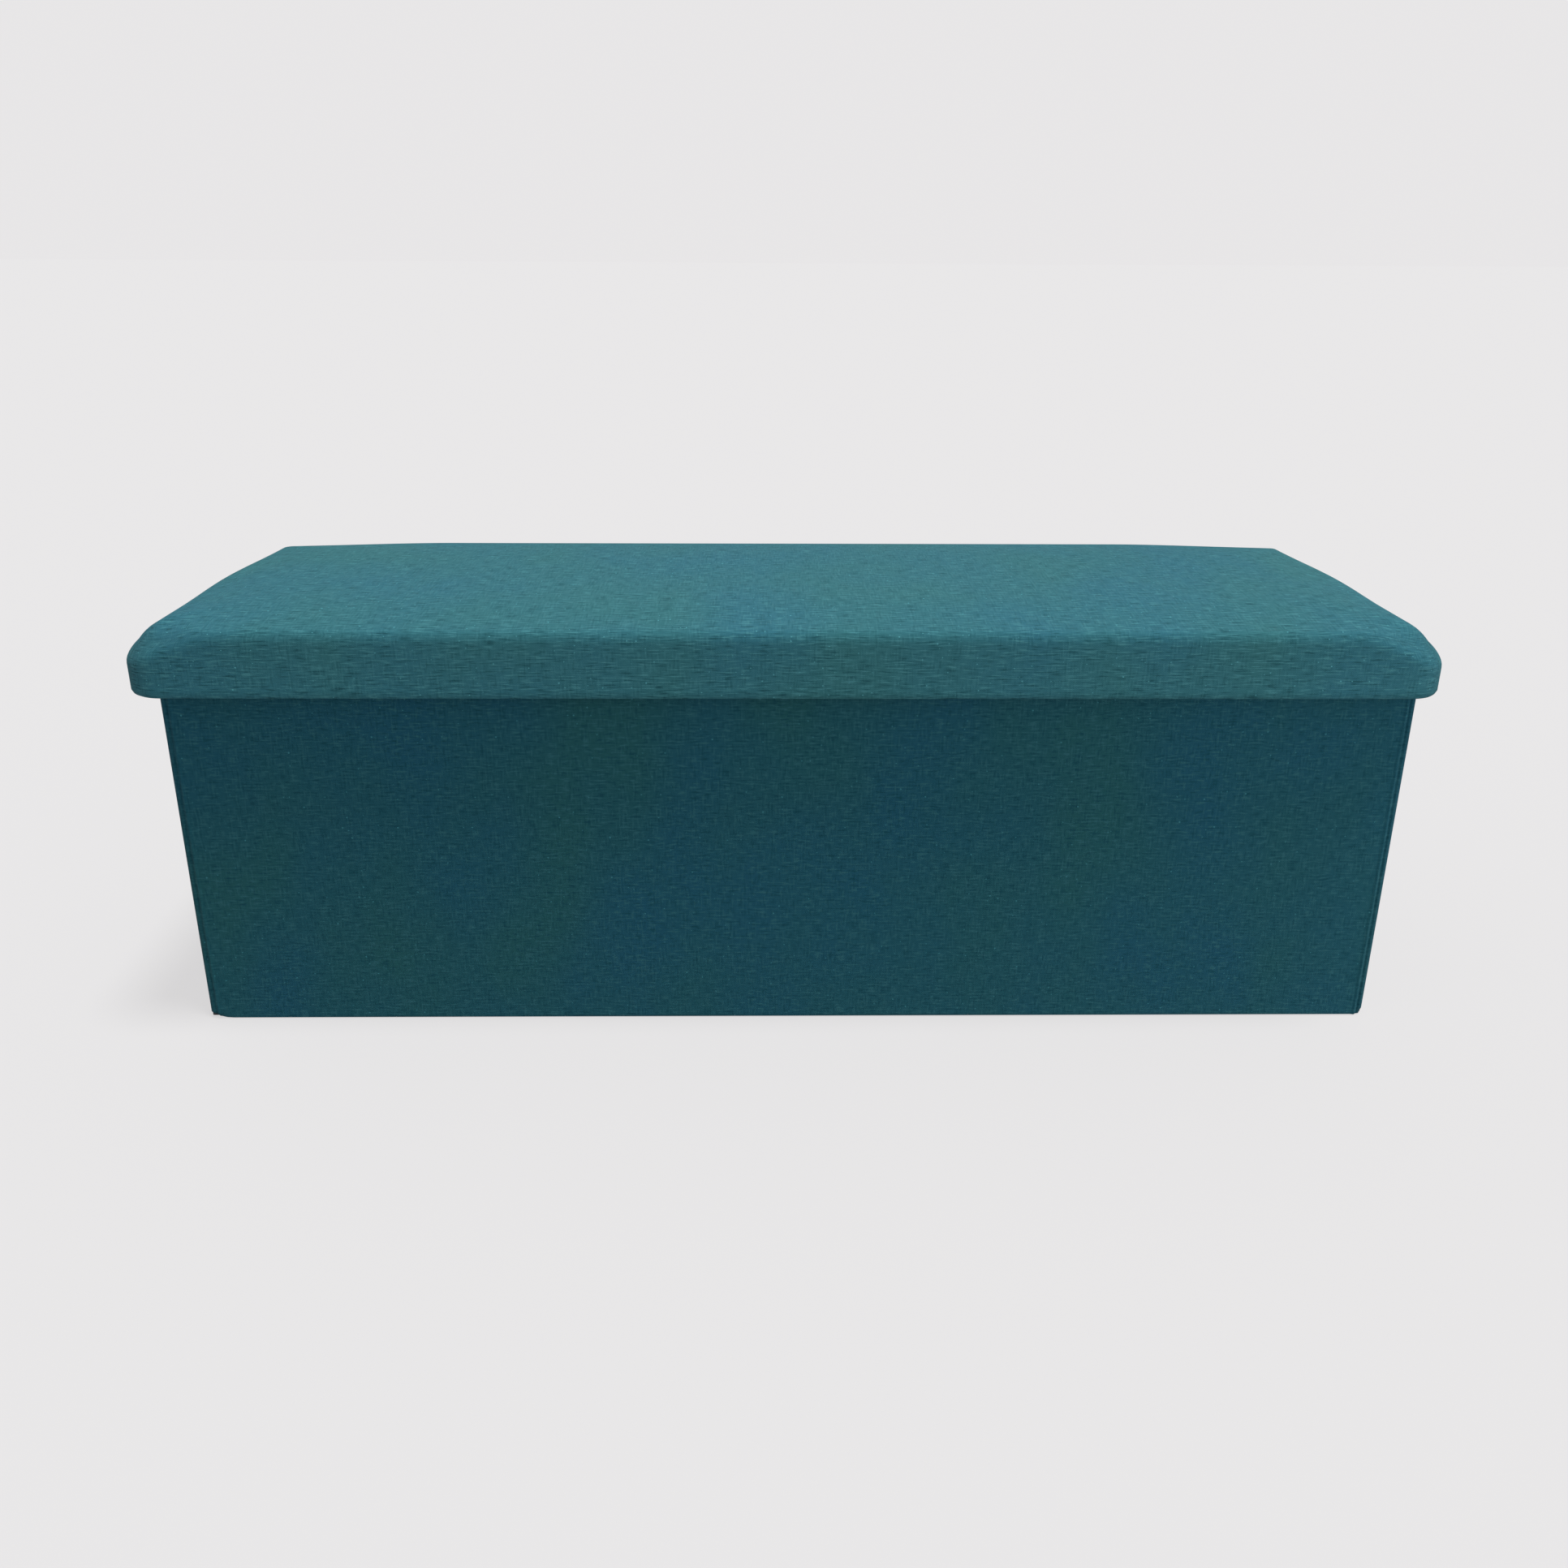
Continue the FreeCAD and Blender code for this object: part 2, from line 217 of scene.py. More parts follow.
def waves(tree, coords, pitch):
    """Two sine waves, one along each of the cloth's directions, each half a wave every pitch metres."""
    turns = scaled(tree, coords, *[math.pi / step for step in pitch])
    axes = add(tree, "ShaderNodeSeparateXYZ", {0: turns}).outputs
    return [calculate(tree, "SINE", axes[i]) for i in range(2)]


def black(grey, blue):
    """A near-black with a trace of blue, for a colour socket."""
    return grey, grey, blue, 1


def weave(tree, coords, pitch):
    """The height of a plain weave with one yarn every pitch metres each way."""
    crossing = calculate(tree, "MULTIPLY", *waves(tree, coords, (pitch, pitch)))
    return calculate(tree, "MULTIPLY_ADD", crossing, 0.5, 0.5)


def slubbed_linen(yarn, tree):
    """A linen-look weave: thick and thin yarns both ways over soft patches of blue and green."""
    coords = add(tree, "ShaderNodeUVMap", uv_map="cloth").outputs["UV"]
    weft = grain(tree, coords, 1 / yarn.slub_length, YARNS_PER_METRE, detail=2.5)
    warp = grain(tree, coords, YARNS_PER_METRE, 0.9 / yarn.slub_length, detail=2.5, offset=31.0)
    patches = grain(tree, coords, 7, 4.5, detail=4.0, offset=57.0)
    lint = grain(tree, coords, LINT_PER_METRE, LINT_PER_METRE, detail=0.0, offset=83.0)
    threads = weave(tree, coords, YARN_PITCH)
    bluer, greener, pale, deep = (shade(colour, 1) for colour in yarn[:4])
    colour = blended(tree, stepped(tree, patches, 0.35, 0.65), bluer, greener)
    colour = blended(tree, stepped(tree, weft, 0.55, 0.67, 0.0, 0.9), colour, pale)
    colour = blended(tree, stepped(tree, weft, 0.44, 0.32), colour, deep)
    colour = blended(tree, stepped(tree, warp, 0.56, 0.68, 0.0, 0.8 * yarn.warp), colour, pale)
    colour = blended(tree, stepped(tree, warp, 0.43, 0.31, 0.0, yarn.warp), colour, deep)
    colour = blended(tree, stepped(tree, threads, 0.35, 0.0, 0.0, 0.45), colour, deep)
    colour = blended(tree, stepped(tree, lint, 0.80, 0.86), colour, shade(yarn.pale, 1.6))
    yarns = calculate(tree, "ADD", weft, warp)
    height = calculate(tree, "MULTIPLY_ADD", yarns, 0.7, threads)
    roughness = stepped(tree, yarns, 0.7, 1.3, 0.95, 0.8)
    return colour, roughness, height, 0.00035


def nonwoven(tree):
    """Black spunbond lining: matted fibres pressed together in a grid of small dots."""
    coords = add(tree, "ShaderNodeUVMap", uv_map="cloth").outputs["UV"]
    pressed = stepped(tree, calculate(tree, "MULTIPLY", *waves(tree, coords, DOT_PITCH)), 0.45, 0.75)
    fibres = grain(tree, coords, 700, 2600, detail=3.0)
    clouds = grain(tree, coords, 45, 45, detail=4.0, offset=19.0)
    colour = blended(tree, stepped(tree, fibres, 0.3, 0.7), black(0.014, 0.015), black(0.040, 0.042))
    colour = blended(tree, stepped(tree, clouds, 0.35, 0.75, 0.0, 0.5), colour, black(0.055, 0.057))
    colour = blended(tree, calculate(tree, "MULTIPLY", pressed, 0.55), colour, black(0.007, 0.008))
    height = calculate(tree, "MULTIPLY_ADD", fibres, 0.5, calculate(tree, "SUBTRACT", 1.0, pressed))
    roughness = stepped(tree, pressed, 0.0, 1.0, 0.85, 0.5)
    return colour, roughness, height, 0.00025


def ribbed_webbing(tree):
    """Woven strap with ribs across its width."""
    coords = add(tree, "ShaderNodeUVMap", uv_map="cloth").outputs["UV"]
    ribs, rows = (calculate(tree, "ABSOLUTE", wave) for wave in waves(tree, coords, RIB_PITCH))
    height = calculate(tree, "MULTIPLY_ADD", rows, 0.4, ribs)
    fuzz = grain(tree, coords, 1500, 1500, detail=3.0)
    colour = blended(tree, stepped(tree, ribs, 0.1, 0.9), black(0.006, 0.007), black(0.028, 0.030))
    colour = blended(tree, stepped(tree, fuzz, 0.4, 0.8, 0.0, 0.5), colour, black(0.05, 0.052))
    return colour, stepped(tree, fuzz, 0.3, 0.7, 0.6, 0.8), height, 0.0004


def thread(tree):
    """Twisted sewing thread."""
    coords = add(tree, "ShaderNodeTexCoord").outputs["Object"]
    twist = grain(tree, coords, 3000, 3000, 900, detail=2.0)
    colour = blended(tree, stepped(tree, twist, 0.3, 0.7), black(0.012, 0.013), black(0.045, 0.048))
    return colour, stepped(tree, twist, 0.3, 0.7, 0.5, 0.7), twist, 0.0002


def pressed_fibre(tree):
    """Hardboard: brown matted fibres with darker flecks."""
    coords = add(tree, "ShaderNodeTexCoord").outputs["Object"]
    fibres = grain(tree, coords, 900, 260, 900, detail=5.0)
    flecks = grain(tree, coords, 1400, 1400, 1400, detail=2.0, offset=11.0)
    clouds = grain(tree, coords, 9, 9, 9, detail=4.0, offset=29.0)
    colour = blended(tree, stepped(tree, fibres, 0.3, 0.7), (0.16, 0.085, 0.042, 1), (0.33, 0.20, 0.115, 1))
    colour = blended(tree, stepped(tree, clouds, 0.35, 0.7, 0.0, 0.5), colour, (0.24, 0.15, 0.09, 1))
    colour = blended(tree, stepped(tree, flecks, 0.66, 0.74), colour, (0.055, 0.03, 0.018, 1))
    return colour, stepped(tree, fibres, 0.3, 0.7, 0.7, 0.88), fibres, 0.00025


def drawn_wire(tree):
    """Zinc-coated staple wire with fine lines drawn along it and dull spots."""
    coords = add(tree, "ShaderNodeTexCoord").outputs["Object"]
    lines = grain(tree, coords, 400, 400, 6000, detail=3.0)
    spots = grain(tree, coords, 900, 900, 900, detail=2.0, offset=5.0)
    colour = blended(tree, stepped(tree, spots, 0.45, 0.75), (0.62, 0.62, 0.64, 1), (0.36, 0.36, 0.38, 1))
    return colour, stepped(tree, spots, 0.3, 0.7, 0.25, 0.5), lines, 0.00005


def make_materials():
    """All materials by name."""
    lid = Yarn(
        bluer=(0.0180, 0.088, 0.118),
        greener=(0.0203, 0.092, 0.104),
        pale=(0.038, 0.143, 0.163),
        deep=(0.0075, 0.047, 0.059),
        slub_length=0.014,
        warp=0.4,
    )
    body = Yarn(
        bluer=(0.0066, 0.0505, 0.0805),
        greener=(0.0088, 0.0560, 0.0640),
        pale=(0.0165, 0.077, 0.094),
        deep=(0.0036, 0.037, 0.052),
        slub_length=0.010,
        warp=0.7,
    )
    cloth = {"Sheen Weight": 0.01, "Sheen Roughness": 0.4, "Specular IOR Level": 0.06}
    matt = {"Specular IOR Level": 0.3}
    return {
        "lid_linen": surface("lid_linen", lambda tree: slubbed_linen(lid, tree), **cloth),
        "body_linen": surface("body_linen", lambda tree: slubbed_linen(body, tree), **cloth),
        "nonwoven": surface("black_nonwoven", nonwoven, **matt),
        "webbing": surface("black_webbing", ribbed_webbing, **matt),
        "thread": surface("sewing_thread", thread, **matt),
        "fibreboard": surface("fibreboard", pressed_fibre, **matt),
        "steel": surface("staple_wire", drawn_wire, Metallic=1.0),
    }


# ---------------------------------------------------------------- pieces

def dress(obj, material, body, nodes=()):
    """Gives a piece its material and its body, and hides the nodes it replaces."""
    obj.data.materials.append(material)
    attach(obj, body)
    if nodes:
        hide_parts(*nodes)
    return obj


SWELL_FRAMES = 20


def inflate(obj, free, most):
    """Swells a cover with a cloth simulation that pushes it out from inside.

    free(point) is 0 where the cover is held, and most is the furthest that a point may move.
    """
    scene = bpy.context.scene
    rest = [vertex.co.copy() for vertex in obj.data.vertices]
    held = obj.vertex_groups.new(name="held")
    for i, point in enumerate(rest):
        held.add([i], 1 - free(point), "REPLACE")
    modifier = obj.modifiers.new("cloth", "CLOTH")
    cloth = modifier.settings
    cloth.quality = 4
    cloth.mass = 0.4
    cloth.tension_stiffness = 60
    cloth.compression_stiffness = 60
    cloth.shear_stiffness = 20
    cloth.bending_stiffness = 8
    cloth.vertex_group_mass = held.name
    cloth.pin_stiffness = 2
    cloth.use_pressure = True
    cloth.uniform_pressure_force = 4
    cloth.effector_weights.gravity = 0
    modifier.point_cache.frame_end = SWELL_FRAMES
    for step in range(1, SWELL_FRAMES + 1):
        scene.frame_set(step)
    swollen = obj.evaluated_get(bpy.context.evaluated_depsgraph_get()).data.vertices
    places = [vertex.co.copy() for vertex in swollen]
    obj.modifiers.remove(modifier)
    obj.vertex_groups.remove(held)
    for vertex, start, place in zip(obj.data.vertices, rest, places):
        move = (place - start) * free(start)
        vertex.co = start + move * most / (most + move.length)
    scene.frame_set(1)


# ---------------------------------------------------------------- lid

PLAN_CORNER = 0.032
EDGE_RADIUS = 0.006
LEFT_END_RADIUS = 0.035
RIGHT_END_RADIUS = 0.039
ROUND_LENGTH = 0.08
FRONT_FLATNESS = 0.3
FRONT_FLAT_LENGTH = 0.1
CROWN = 0.008
FRONT_CROWN = 0.82
BACK_CROWN = 0.18
SWELL = 0.005
SWELL_MOST = 0.004
BACK_DROOP = 0.0140
DROOP_LENGTH = 0.20
BACK_FALL = 0.0015
CROWN_WIDTH = 0.09
HEM_WIDTH = 0.016
HEM_ROUND = 0.0025
CORNER_HEM_ROUND = 0.002
LID_OFFSET = -0.003
CEILING = 0.0262


def lid_layers(point, half):
    """How far in from the lid's outline a point is, and its roundness: 1 by an end, 0 mid-front."""
    from_end, from_front = (half[i] - abs(point[i]) for i in range(2))
    return min(from_end, from_front), 1 - rise(from_end - from_front, 0.0, ROUND_LENGTH)


def on_layer(point, half, inward):
    """The plan position on the rounded outline that lies inward of the lid's own outline."""
    start = min(half[i] - abs(point[i]) for i in range(2))
    plan = [point[i] * (half[i] - inward) / max(half[i] - start, MM) for i in range(2)]
    radius = max(PLAN_CORNER - inward, 0.0)
    if radius:
        sides = [(abs(plan[i]) - (half[i] - inward - radius)) / radius for i in range(2)]
        sides = softened(*sides)
        plan = [
            math.copysign(half[i] - inward - radius + sides[i] * radius, plan[i]) for i in range(2)
        ]
    return plan


def under_lid(point, low, half, inward):
    """Places a point of the cover that is turned under the rim, up its inner side and over the board."""
    if inward < HEM_WIDTH:
        x, y = on_layer(point, half, inward)
        return x + LID_OFFSET * (1 - inward / HEM_WIDTH), y, low.z
    if inward < HEM_WIDTH + CEILING:
        x, y = on_layer(point, half, HEM_WIDTH)
        return x, y, low.z + inward - HEM_WIDTH
    share = (inward - HEM_WIDTH - CEILING) / (half[1] - HEM_WIDTH - CEILING)
    x, y = on_layer(point, half, HEM_WIDTH + share * (half[1] - HEM_WIDTH))
    return x, y, low.z + CEILING + MM


def crown_fall(x, y, inward, corner, half):
    """How far the crowned top has fallen at a plan position: most at the back corners, least mid-front."""
    back = max(rise(y, -half[1], half[1]), corner)
    droop = max(1 - (half[0] - abs(x)) / DROOP_LENGTH, 0) ** 2
    fall = CROWN * (FRONT_CROWN + BACK_CROWN * back)
    fall += (BACK_FALL + BACK_DROOP * droop) * rise(y, 0, half[1])
    return fall * (1 - min(inward / CROWN_WIDTH, 1)) ** 2


def lid_shape(point, low, high):
    """Places a point of the lid's box on the upholstered lid."""
    half = (high - low).xy / 2
    inward, corner = lid_layers(point, half)
    height = high.z - low.z
    drop = high.z - point.z
    if drop > height - 1e-6 and inward > 0:
        return under_lid(point, low, half, inward)
    end_radius = LEFT_END_RADIUS if point.x < 0 else RIGHT_END_RADIUS
    radius = EDGE_RADIUS + (end_radius - EDGE_RADIUS) * corner
    power = 2.0 - FRONT_FLATNESS * rise(-point.y, 0.0, FRONT_FLAT_LENGTH)
    in_side, up_side = softened(1 - inward / radius, 1 - drop / radius, power=power)
    depth_in = radius * (1 - in_side)
    depth_down = radius * (1 - up_side)
    hem = HEM_ROUND + CORNER_HEM_ROUND * corner
    if height - drop < hem:
        out, down = softened(1.0, 1 - (height - drop) / hem)
        depth_in += hem * (1 - out)
        depth_down = height - hem * (1 - down)
    x, y = on_layer(point, half, depth_in)
    fall = crown_fall(x, y, inward, corner, half) + SWELL
    return x + LID_OFFSET, y, high.z - depth_down - fall * rise(height - depth_down, 0.0, height)


def lid_flat(point, side, half, top):
    """The lid's fabric laid flat: its top, with the skirts folded out round it."""
    x, y, down = point.x, point.y, top - point.z
    if side == "-z":
        return x + 3, y + 1
    if side == "+z":
        return x, y
    if side[1] == "x":
        return math.copysign(half[0] + down, x), y
    return x, math.copysign(half[1] + down, y)


def make_lid_cushion(material):
    """The foam-topped lid in its cover, which is wrapped under the rims and up their inner sides."""
    low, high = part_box("lid_cover")
    half = (high - low).xy / 2
    xs, ys = (cells(low[i], high[i], 0.007, 0.045, 0.0032) for i in range(2))
    zs = cells(low.z, high.z, 0.004)
    obj = cloth_mesh(
        "lid_cushion",
        grid_box(xs, ys, zs),
        lambda point: lid_shape(point, low, high),
        lambda point, side: lid_flat(point, side, half, high.z),
    )
    inflate(obj, lambda point: rise(point.z, high.z - 0.013, high.z - 0.007), SWELL_MOST)
    rims = [f"lid_rim_{side}" for side in ("front", "back", "left", "right")]
    inside = ["lid_foam", "lid_board", *rims]
    return dress(obj, material, "lid", ["lid_cover", *inside])


# ---------------------------------------------------------------- walls

# A wall's body, the side it faces, and whether it is one whole side of the box.
Wall = namedtuple("Wall", "body outward full_length")
WALLS = [
    Wall("front_wall", "-y", True),
    Wall("back_wall", "+y", True),
    Wall("left_rear_end", "-x", False),
    Wall("left_front_end", "-x", False),
    Wall("right_rear_end", "+x", False),
    Wall("right_front_end", "+x", False),
]
BOX_CORNER = 0.008
END_CORNER = 0.003
EDGE_TURN = 0.005
LIP = 0.0025
RIPPLE = 0.0005
SEAM_INSET = 0.0085
WELT = 0.0009
WELT_WIDTH = 0.0012
GROOVE = 1.6
GROOVE_OFFSET = 0.0028
LEFT_FOOT = (0.017, 0.0055, 1.15)
RIGHT_FOOT = (0.0075, 0.0075, 2.0)
PLAIN_FOOT = (0.001, 0.001, 2.0)
CORNER_REACH = 0.001
FOLD_REACH = 0.00015
FEET = {
    "front_wall": (LEFT_FOOT, RIGHT_FOOT),
    "left_front_end": (LEFT_FOOT, PLAIN_FOOT),
    "right_front_end": (RIGHT_FOOT, PLAIN_FOOT),
}


def foot_shape(wall, u):
    """How far a wall's lower corner is cut back along it and up it, and how round the cut is."""
    return FEET.get(wall.body, (PLAIN_FOOT, PLAIN_FOOT))[u > 0]


def rounded_wall(wall, place, half, height):
    """Rounds a wall cover's edges and lower corners. place runs along from its middle, up and inwards."""
    u, w, t = place
    upright = BOX_CORNER if wall.full_length else END_CORNER
    turn = min(upright, EDGE_TURN)
    side, deep = softened(1 - (half - abs(u)) / upright, 1 - t / turn)
    if side > 0 and deep > 0:
        u = math.copysign(half - upright * (1 - side), u)
        t = turn * (1 - deep)
    end, deep = softened(1 - min(w, height - w) / LIP, 1 - t / LIP)
    if end > 0 and deep > 0:
        t = LIP * (1 - deep)
        w = LIP * (1 - end) if w < height / 2 else height - LIP * (1 - end)
    foot, rest, power = foot_shape(wall, u)
    side, down = softened(1 - (half - abs(u)) / foot, 1 - w / rest, power=power)
    if side > 0 and down > 0:
        u = math.copysign(half - foot * (1 - side), u)
        w = rest * (1 - down)
    return u, w, t


def wall_relief(wall, u, w, half, height, seed):
    """How deep a wall's fabric lies: soft ripples, and on a full-length wall a ridge and groove at each
    upright seam.
    """
    inside = rise(half - abs(u), 0.0, 0.03) * rise(min(w, height - w), 0.0, 0.02)
    wave = 0.35 * unevenness(u, w, 0.11, seed) + 0.2 * unevenness(u, w, 0.035, seed + 3)
    from_seam = half - abs(u) - SEAM_INSET
    ridge = WELT * math.exp(-(from_seam / WELT_WIDTH) ** 2)
    ridge -= GROOVE * WELT * math.exp(-((from_seam + GROOVE_OFFSET) / WELT_WIDTH) ** 2)
    return RIPPLE * inside * (wave + 0.5) - ridge * wall.full_length


def cover_box(wall):
    """The box of a wall's outer cover. An end's half panels reach into the gaps beside them."""
    low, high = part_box(f"{wall.body}_outer_cover")
    if not wall.full_length:
        at_corner, at_fold = (low, high) if "front" in wall.body else (high, low)
        at_corner.y += math.copysign(CORNER_REACH, at_corner.y)
        at_fold.y -= math.copysign(FOLD_REACH, at_corner.y)
    return low, high


def wall_cover(wall, seed, material):
    """Fabric stretched over a wall's board, with a raised seam near each upright edge of a full-length wall.
    """
    low, high = cover_box(wall)
    normal = "xyz".index(wall.outward[1])
    across = 1 - normal
    sign = -1 if wall.outward[0] == "-" else 1
    outer = high[normal] if sign > 0 else low[normal]
    thick = high[normal] - low[normal]
    centre = (low[across] + high[across]) / 2
    half = (high[across] - low[across]) / 2
    height = high.z - low.z

    def on_wall(point):
        return point[across] - centre, point.z - low.z, (outer - point[normal]) * sign

    def shape(point):
        u, w, t = rounded_wall(wall, on_wall(point), half, height)
        t += wall_relief(wall, u, w, half, height, seed) * (1 - rise(t, 0.0, thick * 0.5))
        place = Vector((0, 0, low.z + w))
        place[across] = centre + u
        place[normal] = outer - sign * t
        return place

    def flat(point, side):
        u, w, t = on_wall(point)
        if side[1] == "xyz"[across]:
            u += math.copysign(t, u)
        elif side[1] == "z":
            w += math.copysign(t, w - height / 2)
        return u + 1.4 * seed, w + 0.9 * seed

    lines = [None, None, cells(low.z, high.z, 0.006, 0.012, 0.0015)]
    lines[across] = cells(low[across], high[across], 0.006, 0.015, 0.00075)
    lines[normal] = cells(low[normal], high[normal], 0.001)
    obj = cloth_mesh(f"{wall.body}_cover", grid_box(*lines), shape, flat)
    board = f"{wall.body}_board"
    return dress(obj, material, wall.body, [f"{wall.body}_outer_cover", board])


def make_walls(materials):
    """Each wall's outer cover, and its lining with a stitched top hem."""
    for seed, wall in enumerate(WALLS, 1):
        wall_cover(wall, seed, materials["body_linen"])
        node = f"{wall.body}_lining"
        low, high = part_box(node)
        thin = "xyz".index(wall.outward[1])
        name, board = f"{wall.body}_inside", f"{wall.body}_board"
        cloth_plate(name, [node], wall.body, materials["nonwoven"], thin, dent=0.0003, seed=seed)
        inward = -direction(wall.outward)
        start, end = low.copy(), high.copy()
        start[thin] = end[thin] = low[thin] if wall.outward[0] == "+" else high[thin]
        start.z = end.z = high.z - (HEM if wall.full_length else END_HEM)
        start[1 - thin] += HEM
        end[1 - thin] -= HEM
        stitches(f"{wall.body}_hem_stitches", start, end, inward, materials["thread"], wall.body)


# ---------------------------------------------------------------- thin cloth pieces

HEM = 0.008
END_HEM = 0.011
FLANGE = (0.0058, 0.0013)
FLANGE_THINNING = 0.7
LOOP_RISE = 0.006
LOOP_FLAT = 0.012
LOOP_CURVE = 0.040
LOOP_ROWS = (0.003, 0.010)
STITCH_PITCH = 0.0045
STITCH_LENGTH = 0.0030
STITCH_RADIUS = 0.0003


def direction(text):
    """The unit vector for a side such as "-y"."""
    vector = Vector()
    vector["xyz".index(text[1])] = -1 if text[0] == "-" else 1
    return vector


def plate(name, box, thin, dent, seed, size=0.008):
    """A thin closed panel with rounded edges and shallow dents. thin is the axis it is thin along."""
    low, high = box
    first, second = [axis for axis in range(3) if axis != thin]
    middle = (low + high) / 2
    radius = (high[thin] - low[thin]) / 2

    def shape(point):
        near = [min(point[i] - low[i], high[i] - point[i]) for i in range(3)]
        sides = softened(*[1 - distance / radius for distance in near])
        place = point.copy()
        for i in range(3):
            if sides[i] > 0:
                out = 1 if point[i] > middle[i] else -1
                place[i] = (high if out > 0 else low)[i] - out * radius * (1 - sides[i])
        uneven = 0.5 + 0.35 * unevenness(point[first], point[second], 0.12, seed)
        uneven += 0.25 * unevenness(point[first], point[second], 0.04, seed + 3)
        inside = rise(min(near[first], near[second]), 0.0, 0.02)
        if abs(point[thin] - middle[thin]) > 1e-6:
            place[thin] -= math.copysign(dent * inside * uneven, point[thin] - middle[thin])
        return place

    def flat(point, side):
        u, w = point[first] + 1.3 * seed, point[second] + 0.7 * seed
        depth = point[thin] - low[thin]
        if side[1] == "xyz"[first]:
            u += math.copysign(depth, point[first] - middle[first])
        elif side[1] == "xyz"[second]:
            w += math.copysign(depth, point[second] - middle[second])
        return u, w

    lines = [cells(low[i], high[i], size, 0.006, 0.001) for i in range(3)]
    lines[thin] = cells(low[thin], high[thin], radius / 2)
    return cloth_mesh(name, grid_box(*lines), shape, flat)


def cloth_plate(name, nodes, body, material, thin, dent, seed):
    """A plate of lining cloth in the place of the first of its CAD nodes, stretched on a board."""
    low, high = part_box(nodes[0])
    obj = plate(name, (low, high), thin, dent, seed)
    return dress(obj, material, body, nodes)


def stitches(name, start, end, facing, material, body):
    """A row of sewn stitches from start to end: short bars of thread, their ends sunk in the cloth."""
    run = end - start
    count = round(run.length / STITCH_PITCH)
    along = run.normalized()
    aside = along.cross(facing)
    rings = [(-1.0, 0.25), (-0.7, 0.9), (0.0, 1.1), (0.7, 0.9), (1.0, 0.25)]
    corners = 6
    points, faces = [], []
    for i in range(count):
        middle = start + run * (i + 0.5) / count
        first = len(points)
        for place, thickness in rings:
            for corner in range(corners):
                angle = math.tau * corner / corners
                out = aside * math.cos(angle) + facing * math.sin(angle)
                centre = middle + along * place * STITCH_LENGTH / 2
                points.append(centre + out * STITCH_RADIUS * thickness)
        for ring in range(len(rings) - 1):
            for corner in range(corners):
                a = first + ring * corners + corner
                b = first + ring * corners + (corner + 1) % corners
                faces.append((a, b, b + corners, a + corners))
        faces.append([first + corner for corner in reversed(range(corners))])
        faces.append([len(points) - corners + corner for corner in range(corners)])
    mesh = bpy.data.meshes.new(name)
    mesh.from_pydata(points, [], faces)
    mesh.polygons.foreach_set("use_smooth", [True] * len(faces))
    obj = bpy.data.objects.new(name, mesh)
    bpy.context.scene.collection.objects.link(obj)
    return dress(obj, material, body)


# ---------------------------------------------------------------- hinge tapes

# A tape's node, the body that each arm is sewn to, where the arms run, and a flat tape's outer side.
Tape = namedtuple("Tape", "node bodies arms facing")
TAPES = [
    Tape("left_rear_corner_tape", ("back_wall", "left_rear_end"), ("+x", "-y"), None),
    Tape("right_rear_corner_tape", ("back_wall", "right_rear_end"), ("-x", "-y"), None),
    Tape("left_front_corner_tape", ("left_front_end", "front_wall"), ("+y", "+x"), None),
    Tape("divider_tape", ("back_wall", "divider"), ("+x", "-y"), None),
    Tape("left_fold_tape", ("left_rear_end", "left_front_end"), ("+y", "-y"), "-x"),
    Tape("right_fold_tape", ("right_rear_end", "right_front_end"), ("+y", "-y"), "+x"),
]
OPEN_CORNER = Tape("right_front_corner_tape", ("front_wall", "right_front_end"), ("-x", "+y"), None)
TAPE_BEND = 0.0016
TAPE_TURN = 0.0045
TAPE_THICKNESS = 0.00018
OPEN_BEND = 0.0002
OPEN_GAP = 0.06


def tape_frame(tape):
    """A tape's hinge line, arm directions, the way each arm faces, arm length and thickness."""
    low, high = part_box(tape.node)
    arms = [direction(arm) for arm in tape.arms]
    if tape.facing:
        facings = [direction(tape.facing)] * 2
        corner = Vector((low.x if tape.facing == "+x" else high.x, (low.y + high.y) / 2, 0))
        return corner, arms, facings, (high.y - low.y) / 2, high.x - low.x
    spread = arms[0] + arms[1]
    corner = Vector([low[i] if spread[i] > 0 else high[i] for i in range(2)] + [0])
    return corner, arms, arms[::-1], high.x - low.x, TAPE_THICKNESS


def strip(name, tape, start, end, bend, material):
    """A tape's cloth between two distances from its hinge line: below 0 is its first arm."""
    corner, arms, facings, reach, thick = tape_frame(tape)
    low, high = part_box(tape.node)

    def shape(point):
        root = math.hypot(point.x, bend)
        along = (arms[0] * (root - point.x) + arms[1] * (root + point.x)) / 2
        share = (1 + point.x / root) / 2
        lift = facings[0] * (1 - share) + facings[1] * share
        edge = min(point.x + reach, reach - point.x, point.z - low.z, high.z - point.z)
        thin = 0.4 + 0.6 * rise(edge, 0.0, 0.0012)
        return corner + along + lift * point.y * thin + Vector((0, 0, point.z))

    box = grid_box(
        cells(start * reach, end * reach, 0.0006),
        cells(0.0, thick, thick / 2),
        cells(low.z, high.z, 0.004),
    )
    obj = cloth_mesh(name, box, shape, lambda point, side: (point.x + corner.x, point.z))
    layer = "outer_cover" if tape.facing else "lining"
    under = [f"{body}_{layer}" for body in tape.bodies if body != "divider"]
    obj.data.materials.append(material)
    return obj


